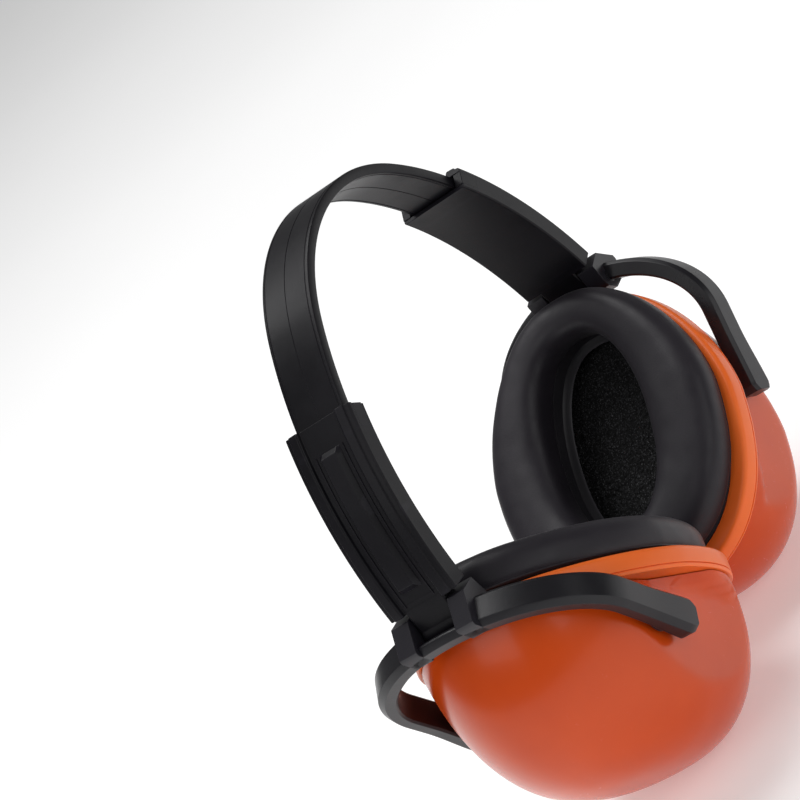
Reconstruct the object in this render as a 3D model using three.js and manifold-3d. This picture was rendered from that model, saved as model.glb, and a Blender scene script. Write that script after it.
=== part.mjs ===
// Folding earmuff hearing protector: a spring headband, two sleeves that slide on it, a forked
// yoke hinged to each sleeve, and an ear cup that tilts between the arms of each yoke.
//
// Millimetres, +Z up. The band's plane is XZ and its mirror planes are X = 0 and Y = 0. +X is the
// right side. Each side is built once as the right side, and the left side is a half turn about Z.
import * as THREE from 'three';
import { mergeVertices } from 'three/addons/utils/BufferGeometryUtils.js';
import Module from 'manifold-3d';

const wasm = await Module();
wasm.setup();

// ---- Driving dimensions ------------------------------------------------------------------------
const GAP = 0.3;                 // space left between pieces that touch
const OUTLINE_POINTS = 24;        // corners of each egg-shaped outline of the cup
const APEX_HEIGHT = 162.8;       // top of the band's centre line above the lowest point of the cups

const BAND_WIDTH = 15.9;
const BAND_THICK = 2.8;
const CROWN_RADIUS = 55.1;       // centre line over the crown
const SIDE_RADIUS = 100.3;       // centre line down each side, tangent to the crown arc
const CROWN_ANGLE = 39.2;        // where the crown arc ends, degrees from the top
const BAND_END_ANGLE = 66;       // tip of the band inside the sleeve
const HINGE_ANGLE = 85.2;        // fold pin

const SLEEVE_WIDTH = 21.6;
const SLEEVE_INNER = -2.9;       // radial faces of the sleeve, from the band's centre line
const SLEEVE_OUTER = 3.5;
const SLEEVE_TOP_ANGLE = 52.7;
const SLEEVE_END_ANGLE = 80.9;
const POCKET_END_ANGLE = 78.2;
const FLOOR_OUTER = 2.7;         // recessed outer face between the two rails
const TONGUE_ROOT = 2;
const TONGUE_OUTER = 4.3;
const TONGUE_WIDTH = 7;
const TONGUE_TOP_ANGLE = 55.9;
const TONGUE_END_ANGLE = 79.3;
const FOOT_WIDTH = 12.4;
const FOOT_RADIUS = 3.3;

const FOLD_PIN_RADIUS = 1.6;
const FOLD_HEAD_RADIUS = 2.9;
const FOLD_HEAD_THICK = 1.4;
const LUG_INNER_Y = 6.5;
const LUG_OUTER_Y = 12;
const FOOT_ROOM_X = 4.1;         // the slot in the yoke that the sleeve's foot turns in
const FOOT_ROOM_Z = 10;

const YOKE_LEAN = 33;            // arms lean inward from the vertical, degrees
const ARM_FRONT = -1.1;          // width of the arms, across their length
const ARM_BACK = 7;
const ARCH_CENTRE = -22;         // centre of the elliptical arch below the fold pin
const ARCH_HALF_WIDTH = 37.8;
const ARCH_RISE = 27;
const ARM_THICK = 4.8;
const ARM_TIP = -47.4;
const ARM_TIP_OUTER = 38.4;
const ARM_TIP_INNER = 31.9;
const PIVOT_DROP = 38.5;         // tilt axis below the fold pin, along the arms
const PIVOT_X = 2.65;
const PIVOT_PIN_RADIUS = 2.6;
const PIVOT_PIN_INNER = 27.2;
const PIVOT_PIN_OUTER = 36.4;

const CUP_TILT = 48;             // cup's own upright leans outward at the top, degrees
const CUP_X = 30.6;              // centre of the cushion's face
const CUP_Z = -99.6;
const CUSHION_DEPTH = 10.5;
const CUSHION_SKIN = 1.4;
// Egg outlines: how far each reaches, and how much narrower its top is than its middle.
const CUSHION_EDGE = { top: 39.2, bottom: -44, half: 36.8, narrowing: 0.27 };
const OPENING = { top: 27.5, bottom: -29, half: 17, narrowing: 0.1 };
const RIM_FRONT = CUSHION_DEPTH + GAP;
const RIM_BACK = 16.6;
const RIM = { top: 38.5, bottom: -48.6, half: 39.2, narrowing: 0.27 };
const RIM_WIDTH = 4.5;
const RIM_LIP_FRONT = 13;        // an inner lip behind the cushion plate
const RIM_LIP = { top: 32, bottom: -41, half: 30.6, narrowing: 0.2 };
const PLATE_THICK = 1.8;
const COLLAR_WALL = 1.8;
const COLLAR_BORE = -1.6;        // the collar's bore is this much wider than the cushion's opening
const SHELL_FRONT = RIM_BACK + GAP;
const SHELL_DEPTH = 41;        // dome, behind its open face
const SHELL_WALL = 2.4;
const SHELL_DROP = 8;            // the dome's pole sits below the cup's centre
const FACET_Y = 31.2;            // flat sides that the arms run along
const FOAM_SPACE = 3.5;          // between the shell's inside and the foam liner
const FOAM_FRONT = 19;

// ---- Colours -----------------------------------------------------------------------------------
const finish = (color, roughness, metalness = 0) =>
  new THREE.MeshStandardMaterial({ color, roughness, metalness });
const BLACK = finish(0x17161a, 0.42);
const PIN = finish(0x1c1b1f, 0.35);
const ORANGE = finish(0xf05a22, 0.25);
const RIM_ORANGE = finish(0xff6a2e, 0.35);
const CUSHION = finish(0x26242a, 0.5);
const CUSHION_CORE = finish(0x3a3a3d, 0.95);
const PLATE = finish(0x1a191d, 0.4);
const FOAM = finish(0x121214, 1.0);

// ---- Solids ------------------------------------------------------------------------------------
const rad = THREE.MathUtils.degToRad;
const AX = new THREE.Vector3(1, 0, 0);
const AY = new THREE.Vector3(0, 1, 0);
const AZ = new THREE.Vector3(0, 0, 1);

function solid(geometry) {
  const g = geometry.clone();
  g.deleteAttribute('normal');
  g.deleteAttribute('uv');
  const m = mergeVertices(g, 1e-4);
  return new wasm.Manifold(new wasm.Mesh({
    numProp: 3,
    vertProperties: new Float32Array(m.attributes.position.array),
    triVerts: new Uint32Array(m.index.array),
  }));
}

function mesh(name, body, material) {
  const { vertProperties, triVerts } = body.getMesh();
  const g = new THREE.BufferGeometry();
  g.setAttribute('position', new THREE.BufferAttribute(vertProperties, 3));
  g.setIndex(new THREE.BufferAttribute(triVerts, 1));
  const made = new THREE.Mesh(g, material);
  made.name = name;
  return made;
}

// A shape drawn in (X, Z), made solid from y = low to y = high.
function alongY(shape, low, high, curveSegments = 10) {
  const g = new THREE.ExtrudeGeometry(shape, { depth: high - low, bevelEnabled: false, curveSegments });
  g.translate(0, 0, -high);
  return solid(g.rotateX(Math.PI / 2));
}

// A shape drawn in (Y, Z), made solid from x = low to x = high.
function alongX(shape, low, high, curveSegments = 10) {
  const g = new THREE.ExtrudeGeometry(shape, { depth: high - low, bevelEnabled: false, curveSegments });
  g.translate(0, 0, low);
  return solid(g.applyMatrix4(new THREE.Matrix4().makeBasis(AY, AZ, AX)));
}

// A round bar along Y, centred on (x, z).
function barY(radius, low, high, x = 0, z = 0, sides = 20) {
  const g = new THREE.CylinderGeometry(radius, radius, high - low, sides);
  return solid(g.translate(x, (low + high) / 2, z));
}

// A solid through a stack of closed outlines of equal count, each a list of Vector3, end to end.
function loft(rings) {
  const count = rings[0].length;
  const last = rings.length - 1;
  const points = rings.flat();
  const centre = (ring) => ring.reduce((sum, p) => sum.add(p), new THREE.Vector3()).divideScalar(count);
  points.push(centre(rings[0]), centre(rings[last]));
  const index = [];
  for (let i = 0; i < count; i++) {
    const j = (i + 1) % count;
    for (let k = 0; k < last; k++) {
      const a = k * count;
      const b = a + count;
      index.push(a + i, a + j, b + j, a + i, b + j, b + i);
    }
    index.push(rings.length * count, j, i);
    index.push(rings.length * count + 1, last * count + i, last * count + j);
  }
  const g = new THREE.BufferGeometry().setFromPoints(points);
  g.setIndex(index);
  return solid(g);
}

// ---- The band's curve --------------------------------------------------------------------------
const crownEnd = rad(CROWN_ANGLE);
const sideCentre = new THREE.Vector2(
  (CROWN_RADIUS - SIDE_RADIUS) * Math.sin(crownEnd),
  -CROWN_RADIUS + (CROWN_RADIUS - SIDE_RADIUS) * Math.cos(crownEnd),
);
const hinge = new THREE.Vector2(
  sideCentre.x + SIDE_RADIUS * Math.sin(rad(HINGE_ANGLE)),
  sideCentre.y + SIDE_RADIUS * Math.cos(rad(HINGE_ANGLE)),
);

// The right yoke's and the right cup's own frames, and the tilt axis in the cup's.
const forkFrame = new THREE.Matrix4().makeRotationY(rad(YOKE_LEAN)).setPosition(hinge.x, 0, hinge.y);
const cupFrame = new THREE.Matrix4().makeRotationY(rad(CUP_TILT)).setPosition(CUP_X, 0, CUP_Z);
const pivot = new THREE.Vector3(PIVOT_X, 0, -PIVOT_DROP)
  .applyMatrix4(forkFrame)
  .applyMatrix4(cupFrame.clone().invert());

// A strip that follows the right side arc from one angle to another, between two radial offsets.
function sideStrip(fromDeg, toDeg, inner, outer) {
  const s = new THREE.Shape();
  const from = Math.PI / 2 - rad(fromDeg);
  const to = Math.PI / 2 - rad(toDeg);
  s.absarc(sideCentre.x, sideCentre.y, SIDE_RADIUS + outer, from, to, true);
  s.absarc(sideCentre.x, sideCentre.y, SIDE_RADIUS + inner, to, from, false);
  return s;
}

function headband() {
  const s = new THREE.Shape();
  const half = BAND_THICK / 2;
  const tip = Math.PI / 2 - rad(BAND_END_ANGLE);
  const join = Math.PI / 2 - crownEnd;
  const { x, y } = sideCentre;
  s.absarc(-x, y, SIDE_RADIUS + half, Math.PI - tip, Math.PI - join, true);
  s.absarc(0, -CROWN_RADIUS, CROWN_RADIUS + half, Math.PI - join, join, true);
  s.absarc(x, y, SIDE_RADIUS + half, join, tip, true);
  s.absarc(x, y, SIDE_RADIUS - half, tip, join, false);
  s.absarc(0, -CROWN_RADIUS, CROWN_RADIUS - half, join, Math.PI - join, false);
  s.absarc(-x, y, SIDE_RADIUS - half, Math.PI - join, Math.PI - tip, false);
  return mesh('headband', alongY(s, -BAND_WIDTH / 2, BAND_WIDTH / 2, 7), BLACK);
}

// ---- Sleeve ------------------------------------------------------------------------------------
function bandSleeve(side) {
  const halfWidth = SLEEVE_WIDTH / 2;
  const halfFoot = FOOT_WIDTH / 2;
  const strip = (from, to, inner, outer, halfY) =>
    alongY(sideStrip(from, to, inner, outer), -halfY, halfY, 4);
  let body = strip(SLEEVE_TOP_ANGLE, SLEEVE_END_ANGLE, SLEEVE_INNER, SLEEVE_OUTER, halfWidth);
  const floor = strip(SLEEVE_TOP_ANGLE - 1, SLEEVE_END_ANGLE + 1, FLOOR_OUTER, TONGUE_OUTER, halfFoot);
  body = body.subtract(floor);
  body = body.add(strip(TONGUE_TOP_ANGLE, TONGUE_END_ANGLE, TONGUE_ROOT, TONGUE_OUTER, TONGUE_WIDTH / 2));
  body = body.add(strip(SLEEVE_END_ANGLE - 1, HINGE_ANGLE, SLEEVE_INNER, FLOOR_OUTER, halfFoot));
  body = body.add(barY(FOOT_RADIUS, -halfFoot, halfFoot, hinge.x, hinge.y));
  const clear = BAND_THICK / 2 + GAP;
  body = body.subtract(strip(SLEEVE_TOP_ANGLE - 1, POCKET_END_ANGLE, -clear, clear, BAND_WIDTH / 2 + GAP));
  const hole = FOLD_PIN_RADIUS + GAP;
  body = body.subtract(barY(hole, -halfWidth, halfWidth, hinge.x, hinge.y));
  return mesh(`${side}_band_sleeve`, body, BLACK);
}

// ---- Yoke: local z runs up the arms from the tilt axis, local x out through their width --------
function archShape() {
  const s = new THREE.Shape();
  const inHalf = ARCH_HALF_WIDTH - ARM_THICK;
  const inRise = ARCH_RISE - ARM_THICK;
  s.moveTo(ARM_TIP_INNER, ARM_TIP);
  s.lineTo(ARM_TIP_OUTER, ARM_TIP);
  s.absellipse(0, ARCH_CENTRE, ARCH_HALF_WIDTH, ARCH_RISE, 0, Math.PI, false, 0);
  s.lineTo(-ARM_TIP_OUTER, ARM_TIP);
  s.lineTo(-ARM_TIP_INNER, ARM_TIP);
  s.absellipse(0, ARCH_CENTRE, inHalf, inRise, Math.PI, 0, true, 0);
  return s;
}

function lugShape() {
  const s = new THREE.Shape();
  s.moveTo(-6.1, 3.2);
  s.lineTo(-1.6, 6.9);
  s.lineTo(ARM_BACK - 0.6, 5.6);
  s.lineTo(ARM_BACK, 4.6);
  s.lineTo(ARM_BACK, -0.4);
  s.lineTo(1.6, -3.6);
  s.lineTo(-2.4, -2.9);
  s.lineTo(-3.6, -1.6);
  return s;
}

function yoke(side) {
  let body = alongX(archShape(), ARM_FRONT, ARM_BACK, 12);
  // Room for the sleeve's foot to turn between the lugs, leaving a bar along the outer edge.
  const room = new THREE.BoxGeometry(2 * FOOT_ROOM_X, 2 * LUG_INNER_Y, 2 * FOOT_ROOM_Z);
  body = body.subtract(solid(room));
  for (const [low, high] of [[LUG_INNER_Y, LUG_OUTER_Y], [-LUG_OUTER_Y, -LUG_INNER_Y]]) {
    body = body.add(alongY(lugShape(), low, high));
  }
  body = body.subtract(barY(FOLD_PIN_RADIUS + GAP, -LUG_OUTER_Y - 1, LUG_OUTER_Y + 1));
  // Recesses in the arch for the heads of the fold pin.
  const recess = [LUG_OUTER_Y, LUG_OUTER_Y + FOLD_HEAD_THICK + 2 * GAP];
  body = body.subtract(barY(FOLD_HEAD_RADIUS + GAP, ...recess));
  body = body.subtract(barY(FOLD_HEAD_RADIUS + GAP, -recess[1], -recess[0]));
  const socket = PIVOT_PIN_RADIUS + GAP;
  for (const end of [-1, 1]) {
    const reach = [end * (ARM_TIP_INNER - 2), end * (PIVOT_PIN_OUTER + GAP)].sort((a, b) => a - b);
    body = body.subtract(barY(socket, ...reach, PIVOT_X, -PIVOT_DROP));
  }
  return mesh(`${side}_yoke`, body, BLACK);
}

function foldPin(side) {
  const shank = LUG_OUTER_Y + GAP;
  const head = shank + FOLD_HEAD_THICK;
  let body = barY(FOLD_PIN_RADIUS, -head, head);
  body = body.add(barY(FOLD_HEAD_RADIUS, shank, head));
  body = body.add(barY(FOLD_HEAD_RADIUS, -head, -shank));
  return mesh(`${side}_fold_pin`, body, PIN);
}

// ---- Ear cup: local x runs back from the cushion's face, local z up the cup ---------------------
// An egg-shaped outline, flat-sided below and narrower towards the top.
function egg(depth, top, bottom, halfWidth, narrowing) {
  const middle = (top + bottom) / 2;
  const half = (top - bottom) / 2;
  const power = (t) => Math.sign(t) * Math.abs(t) ** 0.82;
  return Array.from({ length: OUTLINE_POINTS }, (_, i) => {
    const a = (2 * Math.PI * i) / OUTLINE_POINTS;
    const rise = power(Math.sin(a));
    const narrow = 1 - narrowing * Math.max(0, rise) ** 1.3;
    return new THREE.Vector3(depth, halfWidth * narrow * power(Math.cos(a)), middle + half * rise);
  });
}

const inset = (depth, edge, by) =>
  egg(depth, edge.top - by, edge.bottom + by, edge.half - by, edge.narrowing);

const tube = (front, back, edge, by) => loft([inset(front, edge, by), inset(back, edge, by)]);

// The padded ring's outside, from its face to its open back, shrunk evenly by some thickness.
function cushionOuter(shrink, back = CUSHION_DEPTH) {
  return loft([
    inset(shrink, CUSHION_EDGE, 6.2 + shrink * 0.4),
    inset(1.4 + shrink, CUSHION_EDGE, 2.9 + shrink * 0.7),
    inset(3.4 + shrink, CUSHION_EDGE, 0.8 + shrink),
    inset(6.5, CUSHION_EDGE, shrink),
    inset(back, CUSHION_EDGE, 0.8 + shrink),
  ]);
}

function cushionOpening(grow) {
  return loft([
    inset(-1, OPENING, -5.6 - grow),
    inset(grow, OPENING, -4.8 - grow),
    inset(1.6 + grow, OPENING, -2 - grow),
    inset(5 + grow, OPENING, -grow),
    inset(CUSHION_DEPTH + 2, OPENING, -grow),
  ]);
}

function cushion(side) {
  const room = cushionOuter(CUSHION_SKIN, CUSHION_DEPTH + 1).subtract(cushionOpening(CUSHION_SKIN));
  const skin = cushionOuter(0).subtract(cushionOpening(0)).subtract(room);
  return mesh(`${side}_ear_cushion`, skin, CUSHION);
}

function cushionFoam(side) {
  const shrink = CUSHION_SKIN + GAP;
  return mesh(`${side}_cushion_foam`, cushionOuter(shrink).subtract(cushionOpening(shrink)), CUSHION_CORE);
}

// The moulded plate that carries the cushion, with a collar around the ear opening.
function cushionPlate(side) {
  const edge = RIM_WIDTH + GAP;
  const bore = COLLAR_BORE;
  const plate = tube(RIM_FRONT, RIM_FRONT + PLATE_THICK, RIM, edge);
  const collar = tube(RIM_FRONT, RIM_BACK + 1, OPENING, bore - COLLAR_WALL);
  const through = tube(RIM_FRONT - 1, RIM_BACK + 2, OPENING, bore);
  return mesh(`${side}_cushion_plate`, plate.add(collar).subtract(through), PLATE);
}

function cupRim(side) {
  const outer = loft([
    inset(RIM_FRONT, RIM, 0.8),
    inset(RIM_FRONT + 1, RIM, 0),
    inset(RIM_BACK, RIM, 0.2),
  ]);
  const recess = tube(RIM_FRONT - 1, RIM_LIP_FRONT, RIM, RIM_WIDTH);
  const through = tube(RIM_FRONT, RIM_BACK + 1, RIM_LIP, 0);
  return mesh(`${side}_cup_rim`, outer.subtract(recess).subtract(through), RIM_ORANGE);
}

// Outlines of the dome from its open face to its pole, shrunk evenly for the inner wall.
function dome(shrink, front) {
  const steps = [0, 18, 35, 50, 64, 76, 86];
  const rings = steps.map((deg) => {
    const a = rad(deg);
    const size = Math.cos(a) ** 0.72;
    const drop = SHELL_DROP * Math.sin(a);
    const depth = SHELL_FRONT + (SHELL_DEPTH - shrink) * Math.sin(a);
    const cut = 1 + shrink;
    const top = Math.max((RIM.top - cut) * size - drop, -drop - 1);
    return egg(depth, top, (RIM.bottom + cut) * size - drop, (RIM.half - cut) * size, RIM.narrowing);
  });
  if (front < SHELL_FRONT) {
    rings.unshift(rings[0].map((p) => new THREE.Vector3(front, p.y, p.z)));
  }
  return loft(rings);
}

// The room beside the shell that the arms swing through: behind a crease that runs from the rim
// at mid-height down and back. The inner wall's crease lies ahead of it by the wall's thickness.
function facet(end, y, ahead = 0) {
  const front = SHELL_FRONT - ahead;
  const s = new THREE.Shape();
  s.moveTo(front - 5, 60);
  s.lineTo(front - 5, 16);
  s.lineTo(front, 2);
  s.lineTo(front + 2.2, -14);
  s.lineTo(front + 9, -50);
  s.lineTo(90, -50);
  s.lineTo(90, 60);
  return end > 0 ? alongY(s, y, 60) : alongY(s, -60, -y);
}

function cupShell(side) {
  let outer = dome(0, SHELL_FRONT);
  for (const end of [-1, 1]) outer = outer.subtract(facet(end, FACET_Y));
  let inner = dome(SHELL_WALL, SHELL_FRONT - 2);
  for (const end of [-1, 1]) inner = inner.subtract(facet(end, FACET_Y - SHELL_WALL, SHELL_WALL));
  const body = outer.subtract(inner).subtract(
    barY(PIVOT_PIN_RADIUS + GAP, -60, 60, pivot.x, pivot.z),
  );
  return mesh(`${side}_cup_shell`, body, ORANGE);
}

function foamLiner(side) {
  let body = dome(SHELL_WALL + FOAM_SPACE, SHELL_FRONT - 2);
  for (const end of [-1, 1]) body = body.subtract(facet(end, PIVOT_PIN_INNER - GAP, 2 * SHELL_WALL));
  const front = new THREE.BoxGeometry(FOAM_FRONT, 4 * RIM.half, 4 * RIM.half);
  body = body.subtract(solid(front.translate(FOAM_FRONT / 2, 0, 0)));
  return mesh(`${side}_foam_liner`, body, FOAM);
}

function pivotPin(side, place, end) {
  const reach = [end * PIVOT_PIN_INNER, end * PIVOT_PIN_OUTER].sort((a, b) => a - b);
  return mesh(`${side}_${place}_pivot_pin`, barY(PIVOT_PIN_RADIUS, ...reach, pivot.x, pivot.z), PIN);
}

// ---- Assembly ----------------------------------------------------------------------------------
function earSide(side) {
  const all = new THREE.Group();
  all.add(bandSleeve(side));

  const fork = new THREE.Group();
  fork.applyMatrix4(forkFrame);
  fork.add(yoke(side), foldPin(side));
  all.add(fork);

  const cup = new THREE.Group();
  cup.applyMatrix4(cupFrame);
  cup.add(cushion(side), cushionFoam(side), cushionPlate(side), cupRim(side));
  cup.add(cupShell(side), foamLiner(side), pivotPin(side, 'front', -1), pivotPin(side, 'rear', 1));
  all.add(cup);
  return all;
}

const earmuff = new THREE.Group();
earmuff.position.z = APEX_HEIGHT;
earmuff.add(headband(), earSide('right'));
const left = earSide('left');
left.rotation.z = Math.PI;
earmuff.add(left);

export default earmuff;
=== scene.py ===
# Folding earmuff hearing protector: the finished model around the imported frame.
# Lengths in the shape code are millimetres; every mesh is written in metres in the row frame.
import math

import bpy
import numpy as np
from mathutils import Matrix, Vector, noise


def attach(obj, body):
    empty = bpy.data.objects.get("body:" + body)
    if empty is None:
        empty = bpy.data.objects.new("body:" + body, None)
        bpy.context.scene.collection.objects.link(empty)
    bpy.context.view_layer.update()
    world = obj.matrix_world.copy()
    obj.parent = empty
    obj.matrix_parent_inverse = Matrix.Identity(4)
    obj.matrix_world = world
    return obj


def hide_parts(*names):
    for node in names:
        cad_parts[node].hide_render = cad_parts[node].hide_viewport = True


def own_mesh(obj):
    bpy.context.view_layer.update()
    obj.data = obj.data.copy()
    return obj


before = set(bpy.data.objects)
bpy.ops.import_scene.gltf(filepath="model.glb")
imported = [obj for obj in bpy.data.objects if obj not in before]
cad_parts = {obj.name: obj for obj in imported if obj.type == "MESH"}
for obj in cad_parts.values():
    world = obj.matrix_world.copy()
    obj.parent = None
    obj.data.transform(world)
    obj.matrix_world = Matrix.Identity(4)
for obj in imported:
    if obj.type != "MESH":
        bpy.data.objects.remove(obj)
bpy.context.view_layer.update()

MM = 0.001

# ---- Camera ------------------------------------------------------------------------------------
camera = bpy.data.objects.new("camera", bpy.data.cameras.new("camera"))
bpy.context.scene.collection.objects.link(camera)
forward = Vector((0.7816, 0.5523, -0.2900)).normalized()
upward = Vector((0.5691, -0.4410, 0.6940)).normalized()
rightward = forward.cross(upward).normalized()
upward = rightward.cross(forward)
camera.matrix_world = (
    Matrix.Translation((-0.6642, -0.4535, 0.3553))
    @ Matrix((rightward, upward, -forward)).transposed().to_4x4()
)
camera.data.lens = 150.5
camera.data.sensor_width = 36
camera.data.clip_start = 0.05
camera.data.clip_end = 20
bpy.context.scene.camera = camera

# ---- Dimensions, as in the frame ----------------------------------------------------------------
APEX = 162.8
CROWN_RADIUS = 55.1
SIDE_RADIUS = 100.3
CROWN_ANGLE = 39.2
BAND_END_ANGLE = 66
HINGE_ANGLE = 85.2
BAND_WIDTH = 15.9
BAND_THICK = 2.8
SLEEVE_WIDTH = 21.6
SLEEVE_INNER = -2.9
SLEEVE_OUTER = 3.5
SLEEVE_TOP = 52.7
SLEEVE_END = 80.9
YOKE_LEAN = 33
CUP_TILT = 48
CUP_PLACE = (30.6, 63.2)
# Egg outlines: top, bottom, half width, and how much narrower the top is than the middle.
CUSHION_EDGE = (39.2, -44, 36.8, 0.27)
OPENING = (27.5, -29, 17, 0.1)
RIM = (38.5, -48.6, 39.2, 0.27)
RIM_LIP = (32, -41, 30.6, 0.2)
SHELL_FRONT = 16.9
SHELL_DEPTH = 40.85
SHELL_DROP = 8
FACET_Y = 31.2
SHELL_WALL = 2.4
FOAM_SPACE = 3.5
FOAM_SIDE = 26.7
LUG_INNER_Y = 6.5
LUG_OUTER_Y = 12.0
# Where the tilt pins cross the arms, in the yoke's frame, and their radius.
PIVOT_PLACE = (2.65, -38.5)
PIVOT_RADIUS = 2.6
FOOT_ROOM_X = 4.1

crown_end = math.radians(CROWN_ANGLE)
SIDE_X = (CROWN_RADIUS - SIDE_RADIUS) * math.sin(crown_end)
SIDE_Z = APEX - CROWN_RADIUS + (CROWN_RADIUS - SIDE_RADIUS) * math.cos(crown_end)
HINGE_X = SIDE_X + SIDE_RADIUS * math.sin(math.radians(HINGE_ANGLE))
HINGE_Z = SIDE_Z + SIDE_RADIUS * math.cos(math.radians(HINGE_ANGLE))


def tilted(lean, x, z):
    """The matrix of a right-side frame turned about Y, at (x, 0, z)."""
    return Matrix.Translation((x, 0, z)) @ Matrix.Rotation(math.radians(lean), 4, "Y")


YOKE_FRAME = tilted(YOKE_LEAN, HINGE_X, HINGE_Z)
CUP_FRAME = tilted(CUP_TILT, *CUP_PLACE)
HALF_TURN = Matrix.Rotation(math.pi, 4, "Z")
SIDES = {"right": Matrix.Identity(4), "left": HALF_TURN}


# ---- Materials ---------------------------------------------------------------------------------
class Nodes:
    """A small helper that adds and joins shader nodes."""

    def __init__(self, name):
        self.material = bpy.data.materials.new(name)
        self.material.use_nodes = True
        self.tree = self.material.node_tree
        self.shader = self.tree.nodes["Principled BSDF"]
        coords = self.tree.nodes.new("ShaderNodeTexCoord")
        self.place = coords.outputs["Object"]

    def add(self, kind, inputs=(), **settings):
        node = self.tree.nodes.new(kind)
        for key, value in settings.items():
            setattr(node, key, value)
        for key, value in dict(inputs).items():
            if isinstance(value, bpy.types.NodeSocket):
                self.tree.links.new(value, node.inputs[key])
            else:
                node.inputs[key].default_value = value
        return node

    def noise(self, scale, detail=3.0, roughness=0.55):
        inputs = {"Vector": self.place, "Scale": scale, "Detail": detail, "Roughness": roughness}
        return self.add("ShaderNodeTexNoise", inputs).outputs["Fac"]

    def cells(self, scale, feature="F1"):
        inputs = {"Vector": self.place, "Scale": scale}
        return self.add("ShaderNodeTexVoronoi", inputs, feature=feature).outputs["Distance"]

    def ramp(self, value, low, high, dark, light):
        """Maps value between low and high onto dark and light, which are numbers or colours."""
        node = self.add("ShaderNodeMapRange", {"Value": value, "From Min": low, "From Max": high})
        if isinstance(dark, (int, float)):
            node.inputs["To Min"].default_value = dark
            node.inputs["To Max"].default_value = light
            return node.outputs["Result"]
        mix = self.add("ShaderNodeMix", {"Factor": node.outputs["Result"]}, data_type="RGBA")
        mix.inputs["A"].default_value = (*dark, 1)
        mix.inputs["B"].default_value = (*light, 1)
        return mix.outputs["Result"]

    def join(self, a, b, operation="ADD"):
        return self.add("ShaderNodeMath", {0: a, 1: b}, operation=operation).outputs["Value"]

    def mix(self, factor, a, b):
        node = self.add("ShaderNodeMix", {"Factor": factor}, data_type="RGBA")
        for key, value in (("A", a), ("B", b)):
            if isinstance(value, bpy.types.NodeSocket):
                self.tree.links.new(value, node.inputs[key])
            else:
                node.inputs[key].default_value = (*value, 1)
        return node.outputs["Result"]

    def edges(self, radius):
        """0 on flat surfaces and near 1 along convex edges, for a painted edge highlight."""
        geometry = self.add("ShaderNodeNewGeometry")
        return self.ramp(geometry.outputs["Pointiness"], 0.5 + radius, 0.5 + 3 * radius, 0.0, 1.0)

    def wire(self, color=None, roughness=None, height=None, strength=0.2, distance=0.0001):
        links = self.tree.links
        if color is not None:
            links.new(color, self.shader.inputs["Base Color"])
        if roughness is not None:
            links.new(roughness, self.shader.inputs["Roughness"])
        if height is not None:
            bump = self.add(
                "ShaderNodeBump", {"Height": height, "Strength": strength, "Distance": distance}
            )
            links.new(bump.outputs["Normal"], self.shader.inputs["Normal"])

    def set(self, **values):
        for key, value in values.items():
            self.shader.inputs[key.replace("_", " ")].default_value = value
        return self.material


def moulded_black(name, dark, light, rough_low, rough_high, specular=0.18):
    """Satin near-black plastic: fine moulded grain, faint rubbed patches, and paler edges that are a
    painted highlight.
    """
    n = Nodes(name)
    cloud = n.noise(38, 4)
    grain = n.noise(2600, 2)
    rub = n.ramp(n.noise(95, 5, 0.7), 0.52, 0.72, 0.0, 1.0)
    base = n.ramp(cloud, 0.3, 0.7, dark, light)
    # Painted highlight: the colour is made paler along convex edges.
    edge_highlit = n.mix(n.join(n.edges(0.02), 0.5, "MULTIPLY"), base, tuple(2.2 * c for c in light))
    rough = n.join(n.ramp(cloud, 0.3, 0.7, rough_low, rough_high), n.join(rub, 0.06, "MULTIPLY"))
    height = n.join(grain, n.join(n.noise(420, 3), 0.9, "MULTIPLY"))
    n.wire(edge_highlit, rough, height, strength=0.16, distance=0.00012)
    return n.set(Specular_IOR_Level=specular)


def cushion_leather(name):
    """Smooth charcoal skin over foam, with very fine pores and a soft sheen."""
    n = Nodes(name)
    cloud = n.noise(45, 4)
    pores = n.cells(2400)
    folds = n.noise(240, 4, 0.6)
    base = n.ramp(cloud, 0.3, 0.7, (0.0150, 0.0125, 0.0170), (0.0215, 0.0185, 0.0240))
    rough = n.ramp(folds, 0.3, 0.7, 0.38, 0.50)
    height = n.join(n.join(pores, 0.5, "MULTIPLY"), folds)
    n.wire(base, rough, height, strength=0.14, distance=0.00016)
    return n.set(Specular_IOR_Level=0.30, Sheen_Weight=0.04, Sheen_Roughness=0.45)


def orange_plastic(name, dark, light, rough_low, rough_high, coat):
    """Moulded orange plastic with slight colour drift, fine scuffs and a faint orange-peel."""
    n = Nodes(name)
    cloud = n.noise(26, 4)
    peel = n.noise(170, 2)
    scuff = n.ramp(n.noise(620, 6, 0.8), 0.62, 0.74, 0.0, 1.0)
    base = n.ramp(cloud, 0.3, 0.7, dark, light)
    rough = n.join(n.ramp(cloud, 0.3, 0.7, rough_low, rough_high), n.join(scuff, 0.09, "MULTIPLY"))
    n.wire(base, rough, peel, strength=0.07, distance=0.0003)
    return n.set(
        Specular_IOR_Level=0.32,
        Coat_Weight=coat,
        Coat_Roughness=0.09,
        Subsurface_Weight=0.06,
        Subsurface_Radius=(0.004, 0.0015, 0.0006),
    )


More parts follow.
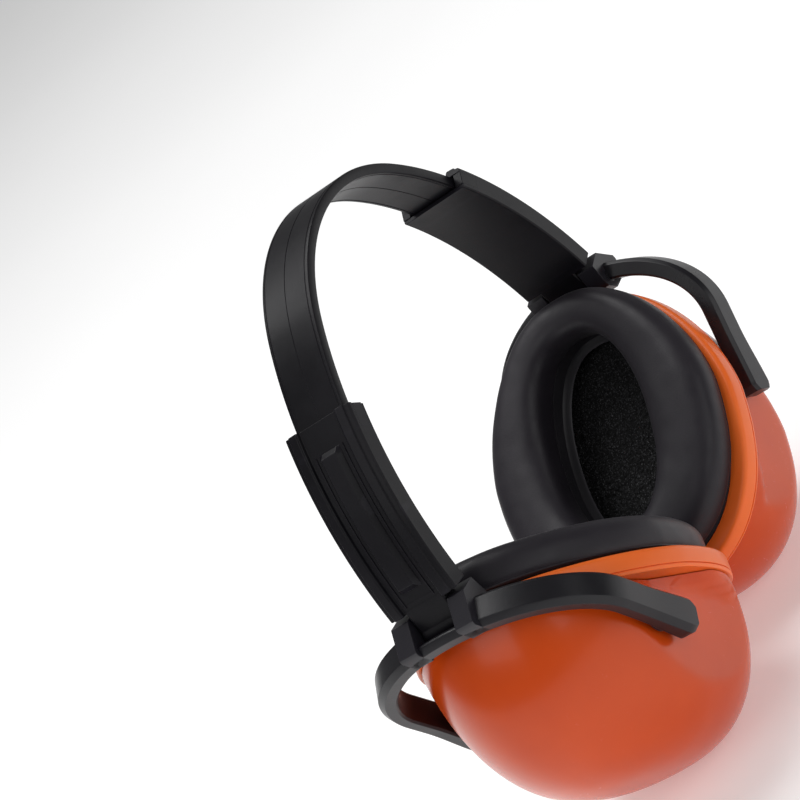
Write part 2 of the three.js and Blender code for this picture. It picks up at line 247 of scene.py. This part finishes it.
def open_cell_foam(name, tone):
    """Open-celled foam: painted shade darkens the pits between the struts, and painted glints brighten
    the struts.
    """
    n = Nodes(name)
    pits = n.cells(900)
    fine = n.cells(2100, "SMOOTH_F1")
    depth = n.join(pits, n.join(fine, 0.7, "MULTIPLY"))
    glint = n.ramp(n.noise(2400, 2), 0.57, 0.66, 0.0, 1.0)
    # Painted shade: the colour darkens from the struts down into the deep pits.
    base = n.ramp(depth, 0.25, 0.8, tuple(3.0 * c for c in tone), tuple(0.25 * c for c in tone))
    # Painted glints: bright specks mixed into the colour.
    color = n.mix(n.join(glint, 0.5, "MULTIPLY"), base, tuple(14.0 * c for c in tone))
    rough = n.ramp(glint, 0.0, 1.0, 0.85, 0.35)
    n.wire(color, rough, n.join(1.0, depth, "SUBTRACT"), strength=0.9, distance=0.0006)
    return n.set(Specular_IOR_Level=0.35)


BLACK = moulded_black(
    "sleeve plastic", (0.0040, 0.0037, 0.0052), (0.0072, 0.0065, 0.0090), 0.30, 0.42
)
YOKE_BLACK = moulded_black(
    "yoke plastic", (0.0065, 0.0061, 0.0082), (0.0115, 0.0106, 0.0138), 0.25, 0.38, specular=0.36
)
PLATE_BLACK = moulded_black("plate plastic", (0.022, 0.021, 0.024), (0.034, 0.032, 0.037), 0.24, 0.34)
PIN_BLACK = moulded_black("pin plastic", (0.005, 0.0045, 0.006), (0.009, 0.008, 0.011), 0.26, 0.36)
SKIN = cushion_leather("cushion skin")
SHELL = orange_plastic("shell plastic", (0.60, 0.060, 0.004), (0.69, 0.078, 0.006), 0.20, 0.28, 0.12)
# Painted light: the rim's orange is the shell's orange made brighter, as on its top-facing side, which
# catches more light.
LIT_RIM_ORANGE = orange_plastic("rim plastic", (0.92, 0.155, 0.020), (0.98, 0.185, 0.028), 0.32, 0.40, 0.05)
FOAM = open_cell_foam("acoustic foam", (0.0075, 0.0075, 0.0082))


# ---- Mesh helpers ------------------------------------------------------------------------------
def make(name, parts, matrix, body, material, stands_for, bevel=0.0, segments=2, smooth=40):
    """One object from (points, faces) parts given in millimetres in a right-side frame."""
    points, faces = [], []
    for part_points, part_faces in parts:
        start = len(points)
        points += [matrix @ Vector(p) * MM for p in part_points]
        faces += [[start + i for i in f] for f in part_faces]
    data = bpy.data.meshes.new(name)
    data.from_pydata(points, [], faces)
    data.validate()
    data.materials.append(material)
    piece = bpy.data.objects.new(name, data)
    bpy.context.scene.collection.objects.link(piece)
    if bevel:
        modifier = piece.modifiers.new("edges", "BEVEL")
        modifier.width = bevel * MM
        modifier.segments = segments
        modifier.limit_method = "ANGLE"
        modifier.angle_limit = math.radians(32)
        modifier.harden_normals = True
    data.shade_smooth()
    if hasattr(data, "set_sharp_from_angle"):
        data.set_sharp_from_angle(angle=math.radians(smooth))
    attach(piece, body)
    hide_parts(*stands_for)
    return piece


def loops(rings, closed_rings=False, caps=True):
    """Faces through a stack of closed point rings of equal count; caps close both ends."""
    count = len(rings[0])
    points = [tuple(p) for ring in rings for p in ring]
    faces = []
    spans = len(rings) if closed_rings else len(rings) - 1
    for k in range(spans):
        a, b = k * count, ((k + 1) % len(rings)) * count
        for i in range(count):
            j = (i + 1) % count
            faces.append([a + i, a + j, b + j, b + i])
    if caps and not closed_rings:
        faces.append(list(range(count))[::-1])
        faces.append([(len(rings) - 1) * count + i for i in range(count)])
    return points, faces


def resampled(points, count):
    """A closed 2-D outline with its points spread evenly along it."""
    p = np.array(points + points[:1])
    run = np.concatenate([[0], np.cumsum(np.linalg.norm(np.diff(p, axis=0), axis=1))])
    at = np.linspace(0, run[-1], count, endpoint=False)
    return np.stack([np.interp(at, run, p[:, k]) for k in range(2)], axis=1)


def egg(edge, by=0.0, count=96):
    """The cup's outline in (y, up), moved in by some distance."""
    top, bottom, half = edge[0] - by, edge[1] + by, edge[2] - by
    middle, reach = (top + bottom) / 2, (top - bottom) / 2
    power = lambda t: math.copysign(abs(t) ** 0.82, t)
    outline = []
    for i in range(720):
        a = 2 * math.pi * i / 720
        rise = power(math.sin(a))
        narrow = 1 - edge[3] * max(0.0, rise) ** 1.3
        outline.append((half * narrow * power(math.cos(a)), middle + reach * rise))
    return resampled(outline, count)


def ring(outline, depth):
    return [(depth, y, up) for y, up in outline]


def at_angle(degrees, offset, y):
    """A point beside the right side arc: angle from the top, radial offset, and y."""
    a = math.radians(degrees)
    r = SIDE_RADIUS + offset
    return (SIDE_X + r * math.sin(a), y, SIDE_Z + r * math.cos(a))


def swept(section, low, high, steps):
    """A closed (y, radial) section swept along the right side arc."""
    angles = np.linspace(low, high, steps + 1)
    return loops([[at_angle(a, r, y) for y, r in section] for a in angles])


def prism(outline, low, high):
    """A convex or concave (x, z) outline made solid along Y."""
    return loops([[(x, low, z) for x, z in outline], [(x, high, z) for x, z in outline]])


def lathe(profile, x, z, sides=40):
    """A solid of (radius, y) turned about a line along Y through (x, z)."""
    turns = [2 * math.pi * i / sides for i in range(sides)]
    return loops([[(x + r * math.cos(t), y, z + r * math.sin(t)) for t in turns] for r, y in profile])


# ---- Headband ----------------------------------------------------------------------------------
def band_section():
    """The strap's section: flat faces with eased edges, and fine moulding lines along each face."""
    w, t = BAND_WIDTH / 2, BAND_THICK / 2
    quarter = [
        (0.09, t - 0.14), (0.2, t), (w - 1.25, t), (w - 1.1, t - 0.13), (w - 0.95, t - 0.13),
        (w - 0.8, t), (w - 0.35, t), (w - 0.1, t - 0.1), (w, t - 0.35),
    ]
    top = [(-y, r) for y, r in quarter[::-1]] + quarter
    return top + [(-y, -r) for y, r in top]


def headband():
    section = band_section()
    rings = []
    for degrees in np.linspace(-BAND_END_ANGLE, BAND_END_ANGLE, 133):
        side = math.copysign(1, degrees)
        a = math.radians(abs(degrees))
        over_crown = abs(degrees) <= CROWN_ANGLE
        crown_arc = (0, APEX - CROWN_RADIUS, CROWN_RADIUS)
        x0, z0, r0 = crown_arc if over_crown else (SIDE_X, SIDE_Z, SIDE_RADIUS)
        rings.append([
            (side * (x0 + (r0 + r) * math.sin(a)), y, z0 + (r0 + r) * math.cos(a))
            for y, r in section
        ])
    make(
        "headband_strap", [loops(rings)], Matrix.Identity(4), "headband", BLACK,
        ["headband"], smooth=28,
    )


# ---- Sleeves -----------------------------------------------------------------------------------
# Angles run from the top of the side arc; half widths are along Y; heights are radial offsets.
RAIL_INNER = 6.2
SLEEVE_FLOOR = 2.7
MOUTH_END = 56.4
MOUTH_OPENING = 8.25
MOUTH_LIP = 1.75
TONGUE_START = 56.9
TONGUE_END = 78.3
TONGUE_TOP_WIDTH = 2.3
TONGUE_ROOT_WIDTH = 3.4
TONGUE_ROOT = 2.3
TONGUE_SHOULDER = 2.8
TONGUE_HEIGHT = 4.25
TONGUE_RAMP = 2.75
RIDGE_INNER = 4.35
RIDGE_OUTER = 4.65
RIDGE_HEIGHT = 2.98
RIDGE_END = 80.2
FOOT_WIDTH = 6.2
FOOT_EASE = 0.5
BARREL_BORE = 1.9
BARREL_RADIUS = 3.3


def sleeve(side, turn):
    w = SLEEVE_WIDTH / 2
    rail, floor = RAIL_INNER, SLEEVE_FLOOR
    inner, outer = SLEEVE_INNER, SLEEVE_OUTER
    lower = [(-w, inner + 0.4), (-w + 0.4, inner), (w - 0.4, inner), (w, inner + 0.4)]
    rails = [
        (w, outer - 0.9), (w - 0.35, outer - 0.5), (w - 1.5, outer - 0.4), (w - 1.75, outer + 0.15),
        (rail + 0.5, outer + 0.3), (rail + 0.1, outer), (rail - 0.15, floor),
    ]
    whole = lower + rails + [(-y, r) for y, r in rails[::-1]]
    parts = [swept(whole, 56.2, SLEEVE_END, 34)]
    # The mouth: open box walls around the strap.
    lip, side_wall = MOUTH_LIP, MOUTH_OPENING
    above = [(side_wall, lip), (w, lip)] + rails
    parts.append(swept(above + [(-y, r) for y, r in above[::-1]], SLEEVE_TOP, MOUTH_END, 6))
    below = [(-w, -lip)] + lower + [(w, -lip)]
    parts.append(swept(below, SLEEVE_TOP + 0.25, MOUTH_END, 6))
    for end in (-1, 1):
        cheek = [
            (end * side_wall, -lip - 0.1), (end * w, -lip - 0.1),
            (end * w, lip + 0.1), (end * side_wall, lip + 0.1),
        ]
        parts.append(swept(cheek, SLEEVE_TOP + 0.1, MOUTH_END, 6))
    # The long raised tongue with sloping sides, and the ramp at each end.
    tongue_angles = np.linspace(TONGUE_START, TONGUE_END, 28)
    top, root = TONGUE_TOP_WIDTH, TONGUE_ROOT_WIDTH
    rings = []
    for i, degrees in enumerate(tongue_angles):
        ends = min(i, len(tongue_angles) - 1 - i)
        rise = TONGUE_HEIGHT if ends > 0 else TONGUE_RAMP
        section = [
            (-root, TONGUE_ROOT), (root, TONGUE_ROOT), (root, TONGUE_SHOULDER),
            (top, rise), (-top, rise), (-root, TONGUE_SHOULDER),
        ]
        rings.append([at_angle(degrees, r, y) for y, r in section])
    parts.append(loops(rings))
    # A fine ridge on each side of the tongue, and the foot that reaches the fold pin.
    for end in (-1, 1):
        ridge = [
            (end * RIDGE_INNER, 2.5), (end * RIDGE_INNER, RIDGE_HEIGHT),
            (end * RIDGE_OUTER, RIDGE_HEIGHT), (end * RIDGE_OUTER, 2.5),
        ]
        parts.append(swept(ridge, TONGUE_START, RIDGE_END, 28))
    wide, ease = FOOT_WIDTH, FOOT_EASE
    narrow = wide - ease
    foot = [
        (-wide, inner + ease), (-narrow, inner), (narrow, inner), (wide, inner + ease),
        (wide, floor - ease), (narrow, floor), (-narrow, floor), (-wide, floor - ease),
    ]
    parts.append(swept(foot, SLEEVE_END - 1.5, HINGE_ANGLE, 8))
    bore, radius = BARREL_BORE, BARREL_RADIUS
    barrel = [
        (bore, -wide), (radius - ease, -wide), (radius, -narrow),
        (radius, narrow), (radius - ease, wide), (bore, wide),
    ]
    parts.append(lathe(barrel, HINGE_X, HINGE_Z))
    make(
        f"{side}_sleeve_shell", parts, turn, f"{side}_sleeve", BLACK,
        [f"{side}_band_sleeve"], bevel=0.22, smooth=35,
    )


# ---- Yokes -------------------------------------------------------------------------------------
def arch_centre(t):
    """The middle line of the arms' thickness at t from 0 (rear tip) to 1 (front tip), with its normal."""
    tip_z, tip_y, knee_z = -47.4, 35.15, -22.0
    half_width, rise = 35.4, 24.6
    if t < 0.22:
        s = t / 0.22
        y, z = tip_y + (half_width - tip_y) * s, tip_z + (knee_z - tip_z) * s
        return (-y, z), (-1.0, 0.0)
    if t > 0.78:
        s = (1 - t) / 0.22
        y, z = tip_y + (half_width - tip_y) * s, tip_z + (knee_z - tip_z) * s
        return (y, z), (1.0, 0.0)
    a = math.pi * (1 - (t - 0.22) / 0.56)
    y, z = half_width * math.cos(a), knee_z + rise * math.sin(a)
    n = Vector((math.cos(a) / half_width, math.sin(a) / rise)).normalized()
    return (y, z), (n.x, n.y)


def yoke(side, turn):
    frame_matrix = turn @ YOKE_FRAME
    rings = []
    for t in np.linspace(0, 1, 121):
        (y, z), (ny, nz) = arch_centre(t)
        to_tip = min(t, 1 - t)
        paddle = max(0.0, 1 - to_tip / 0.16)
        paddle = paddle * paddle * (3 - 2 * paddle)
        thick = 2.4 + 0.55 * paddle
        front, back = -1.1 - 0.4 * paddle, 7.0 + 0.7 * paddle
        taper = max(0.0, 1 - to_tip / 0.014)
        front, back = front + 1.5 * taper, back - 1.0 * taper
        if abs(y) < LUG_INNER_Y + 0.4:
            front = FOOT_ROOM_X
        inward = -2.4 - 0.1 * paddle
        # Outer face with a narrow flat on its back edge, a flat broad face, and an eased front edge.
        section = [
            (front + 0.5, inward), (back - 0.6, inward), (back, inward + 0.6), (back, thick - 1.5),
            (back - 1.1, thick - 0.35), (back - 1.5, thick), (front + 0.9, thick), (front, thick - 0.9),
            (front, inward + 0.5),
        ]
        rings.append([(x, y + ny * n, z + nz * n) for x, n in section])
    parts = [loops(rings)]
    # Lugs for the fold pin.
    lug = [
        (-6.1, 3.2), (-1.6, 6.9), (6.4, 5.6), (7.0, 4.6),
        (7.0, -0.4), (1.6, -3.6), (-2.4, -2.9), (-3.6, -1.6),
    ]
    for end in (-1, 1):
        low, high = sorted((end * LUG_INNER_Y, end * LUG_OUTER_Y))
        parts.append(prism(lug, low, high))
    # A pad inside each arm's tip that carries the tilt pin.
    for end in (-1, 1):
        pad = [(4.3, end * 33.1), (4.3, end * 32.2), (3.9, end * 31.8), (0.5, end * 31.8)]
        parts.append(lathe(pad, *PIVOT_PLACE, 32))
    make(
        f"{side}_yoke_fork", parts, frame_matrix, f"{side}_yoke", YOKE_BLACK,
        [f"{side}_yoke"], bevel=0.3, smooth=38,
    )


def pins(side, turn):
    head = [(0.3, -12.3), (1.6, -12.3), (1.9, -12.1), (1.9, -11.4), (1.6, -11.4)]
    profile = head + [(r, -y) for r, y in head[::-1]]
    make(
        f"{side}_fold_pin_turned", [lathe(profile, 0, 0)], turn @ YOKE_FRAME, f"{side}_yoke",
        PIN_BLACK, [f"{side}_fold_pin"],
    )
    for place, end in (("front", -1), ("rear", 1)):
        stub = [
            (0.3, end * 27.2), (2.3, end * 27.2), (PIVOT_RADIUS, end * 27.6),
            (PIVOT_RADIUS, end * 36.0), (2.2, end * 36.4), (0.3, end * 36.4),
        ]
        make(
            f"{side}_{place}_tilt_pin", [lathe(stub, *PIVOT_PLACE)], turn @ YOKE_FRAME,
            f"{side}_yoke", PIN_BLACK, [f"{side}_{place}_pivot_pin"],
        )


# ---- Ear cups ----------------------------------------------------------------------------------
COUNT = 144


def cushion(side, turn):
    """The padded ring: a crowned closed form with a welded seam round its back edge."""
    outer = egg(CUSHION_EDGE, 0, COUNT)
    inner = egg(OPENING, 0, COUNT)
    front = [math.radians(a) for a in np.linspace(0, 180, 33)]
    profile = [(1 - 0.5 * (1 - math.copysign(abs(math.cos(a)) ** 0.8, math.cos(a))),
                6.2 - 6.5 * math.sin(a) ** 0.8) for a in front]
    wall_out = [(10.4, -0.8), (9.8, -0.45), (9.55, -0.75), (9.2, -0.3), (7.8, 0.0)]
    wall_in = [(7.8, 0.0), (9.6, 0.1), (10.4, 0.6)]
    rings = []
    for depth, out in wall_out:
        rings.append([(depth, *(o + unit(o - i) * out)) for o, i in zip(outer, inner)])
    for f, depth in profile:
        rings.append([(depth, *(i + (o - i) * f)) for o, i in zip(outer, inner)])
    for depth, out in wall_in:
        rings.append([(depth, *(i + unit(o - i) * out)) for o, i in zip(outer, inner)])
    points, faces = loops(rings, closed_rings=True)
    # Slack in the skin: low swells over its front, fading out towards the seam.
    moved = []
    for depth, y, up in points:
        p = Vector((depth, y, up))
        swell = 0.28 * noise.noise(p * 0.055) + 0.07 * noise.noise(p * 0.21)
        weight = min(1.0, max(0.0, (9.5 - depth) / 4.0))
        moved.append((depth - swell * weight, y, up))
    piece = make(
        f"{side}_padded_cushion", [(moved, faces)], turn @ CUP_FRAME, f"{side}_cup",
        SKIN, [f"{side}_ear_cushion", f"{side}_cushion_foam"], smooth=60,
    )
    piece.modifiers.new("smooth", "SUBSURF").render_levels = 1
    piece.modifiers["smooth"].levels = 1
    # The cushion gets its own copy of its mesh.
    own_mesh(piece)


def unit(v):
    return v / np.linalg.norm(v)


def profile_ring(steps, edges, count=COUNT):
    """A closed ring from (edge key, inset, depth) steps."""
    return loops([ring(egg(edges[key], by, count), depth) for key, by, depth in steps], closed_rings=True)


def rim(side, turn):
    steps = [
        ("rim", 4.5, 10.8), ("rim", 1.2, 10.8), ("rim", 0.5, 10.95), ("rim", 0.1, 11.4),
        ("rim", 0, 12.0), ("rim", 0, 15.2), ("rim", 0.04, 15.45), ("rim", 0.45, 15.52),
        ("rim", 0.45, 15.75), ("rim", 0.05, 15.82), ("rim", 0.1, 16.3), ("rim", 0.4, 16.6),
        ("lip", 0, 16.6), ("lip", 0, 13.0), ("rim", 4.5, 13.0),
    ]
    parts = [profile_ring(steps, {"rim": RIM, "lip": RIM_LIP})]
    make(f"{side}_rim_ring", parts, turn @ CUP_FRAME, f"{side}_cup", LIT_RIM_ORANGE,
         [f"{side}_cup_rim"], smooth=42)


def plate(side, turn):
    steps = [
        ("rim", 4.8, 10.8), ("rim", 4.8, 12.6), ("hole", -3.4, 12.6), ("hole", -3.4, 17.3),
        ("hole", -3.0, 17.6), ("hole", -1.4, 17.6), ("hole", -0.6, 17.3), ("hole", 0.1, 17.1),
        ("hole", 0.4, 16.7), ("hole", 0.1, 16.3), ("hole", -0.8, 16.0), ("hole", -1.6, 15.2),
        ("hole", -1.6, 11.2), ("hole", -2.0, 10.8),
    ]
    parts = [profile_ring(steps, {"rim": RIM, "hole": OPENING})]
    make(f"{side}_plate_moulding", parts, turn @ CUP_FRAME, f"{side}_cup", PLATE_BLACK,
         [f"{side}_cushion_plate"], smooth=42)


def crease_depth(up):
    """Depth of the crease behind which the shell's side is flat."""
    heights = (-50, -14, 2, 12, 60)
    depths = (25.9, 19.1, 16.9, 14.4, 11.9)
    return float(np.interp(up, heights, depths))


def dome_point(depth, y, up, limit):
    """A dome point with its flat side: |y| is eased down to the limit behind the crease."""
    ahead = max(0.0, crease_depth(up) - depth)
    reach = limit + 2.4 * min(ahead, 3.2)
    soft = 0.5
    over = abs(y) - reach
    eased = 0.5 * (abs(y) + reach - math.sqrt(over * over + soft * soft))
    return (depth, math.copysign(eased, y), up)


def dome(shrink, limit, steps, count=COUNT):
    rings = []
    for degrees in steps:
        a = math.radians(degrees)
        size = math.cos(a) ** 0.72
        drop = SHELL_DROP * math.sin(a)
        depth = SHELL_FRONT + (SHELL_DEPTH - shrink) * math.sin(a)
        cut = 1 + shrink
        top = max((RIM[0] - cut) * size - drop, -drop - 1)
        edge = (top, (RIM[1] + cut) * size - drop, (RIM[2] - cut) * size, RIM[3])
        rings.append([dome_point(depth, y, up, limit) for y, up in egg(edge, 0, count)])
    return rings


def shell(side, turn):
    steps = list(np.linspace(0, 78, 40)) + [80.5, 82.7, 84.6, 86.2, 87.5, 88.5, 89.2, 89.7]
    outer = dome(0, FACET_Y, steps)
    inner = dome(SHELL_WALL, FACET_Y - SHELL_WALL, np.linspace(0, 84, 16))
    points, faces = loops(outer + inner[::-1], caps=False)
    count = COUNT
    outer_pole = len(outer) - 1
    # The two domes join only along the open front; each pole is closed by its own face.
    between_poles = lambda f: (min(f) // count, max(f) // count) == (outer_pole, outer_pole + 1)
    faces = [f for f in faces if not between_poles(f)]
    last = outer_pole * count
    first = len(outer) * count
    end = (len(outer) + len(inner) - 1) * count
    faces.append([last + i for i in range(count)])
    faces.append([first + i for i in range(count)][::-1])
    for i in range(count):
        j = (i + 1) % count
        faces.append([end + i, end + j, j, i])
    make(f"{side}_shell_dome", [(points, faces)], turn @ CUP_FRAME, f"{side}_cup", SHELL,
         [f"{side}_cup_shell"], smooth=60)


def liner(side, turn):
    """Foam block: a rough dished front seen through the ear opening, and a plain back."""
    rings = dome(SHELL_WALL + FOAM_SPACE, FOAM_SIDE, [86, 78, 66, 54, 42, 30, 18, 8, 2.5])
    front_edge = rings[-1]
    for share in np.linspace(1, 0.02, 60):
        dish = 3.0 * (1 - share * share)
        layer = []
        for _, y, up in front_edge:
            p = Vector((0, y * share, (up + 5) * share - 5))
            pit = noise.noise(p * 0.9) * 0.35 + noise.noise(p * 2.1) * 0.3
            layer.append((19.5 + dish + pit, p.y, p.z))
        rings.append(layer)
    make(f"{side}_foam_block", [loops(rings)], turn @ CUP_FRAME, f"{side}_cup", FOAM,
         [f"{side}_foam_liner"], smooth=80)


# ---- Assembly ----------------------------------------------------------------------------------
headband()
for side, turn in SIDES.items():
    sleeve(side, turn)
    yoke(side, turn)
    pins(side, turn)
    cushion(side, turn)
    rim(side, turn)
    plate(side, turn)
    shell(side, turn)
    liner(side, turn)

# ---- Floor and light ---------------------------------------------------------------------------
floor_material = Nodes("floor")
floor_tone = floor_material.ramp(
    floor_material.noise(3), 0.3, 0.7, (0.90, 0.90, 0.90), (0.93, 0.93, 0.93)
)
floor_material.wire(floor_tone)
floor_material.set(
    Roughness=0.9, Specular_IOR_Level=0.2, Emission_Color=(1, 1, 1, 1), Emission_Strength=0.28
)
FLOOR_REACH = 9
corners = [(-1, -1), (1, -1), (1, 1), (-1, 1)]
floor = bpy.data.meshes.new("floor")
floor.from_pydata([(FLOOR_REACH * x, FLOOR_REACH * y, 0) for x, y in corners], [], [[0, 1, 2, 3]])
floor.materials.append(floor_material.material)
floor_object = bpy.data.objects.new("floor", floor)
bpy.context.scene.collection.objects.link(floor_object)

world = bpy.data.worlds.new("studio")
world.use_nodes = True
world.node_tree.nodes["Background"].inputs["Color"].default_value = (1, 1, 1, 1)
world.node_tree.nodes["Background"].inputs["Strength"].default_value = 0.16
bpy.context.scene.world = world
bpy.context.scene.view_settings.view_transform = "Standard"


def area_light(name, place, size, power):
    light = bpy.data.lights.new(name, "AREA")
    light.shape = "RECTANGLE"
    light.size, light.size_y = size
    light.energy = power
    lamp = bpy.data.objects.new(name, light)
    lamp.location = place
    lamp.rotation_mode = "QUATERNION"
    lamp.rotation_quaternion = (Vector((0, 0, 0.08)) - Vector(place)).to_track_quat("-Z", "Y")
    bpy.context.scene.collection.objects.link(lamp)


area_light("overhead softbox", (0.25, 0.35, 1.5), (1.1, 1.1), 17)
area_light("left softbox", (-1.2, 0.3, 1.0), (1.1, 1.1), 5)
area_light("front softbox", (-0.5, -1.3, 0.7), (1.3, 0.7), 4)
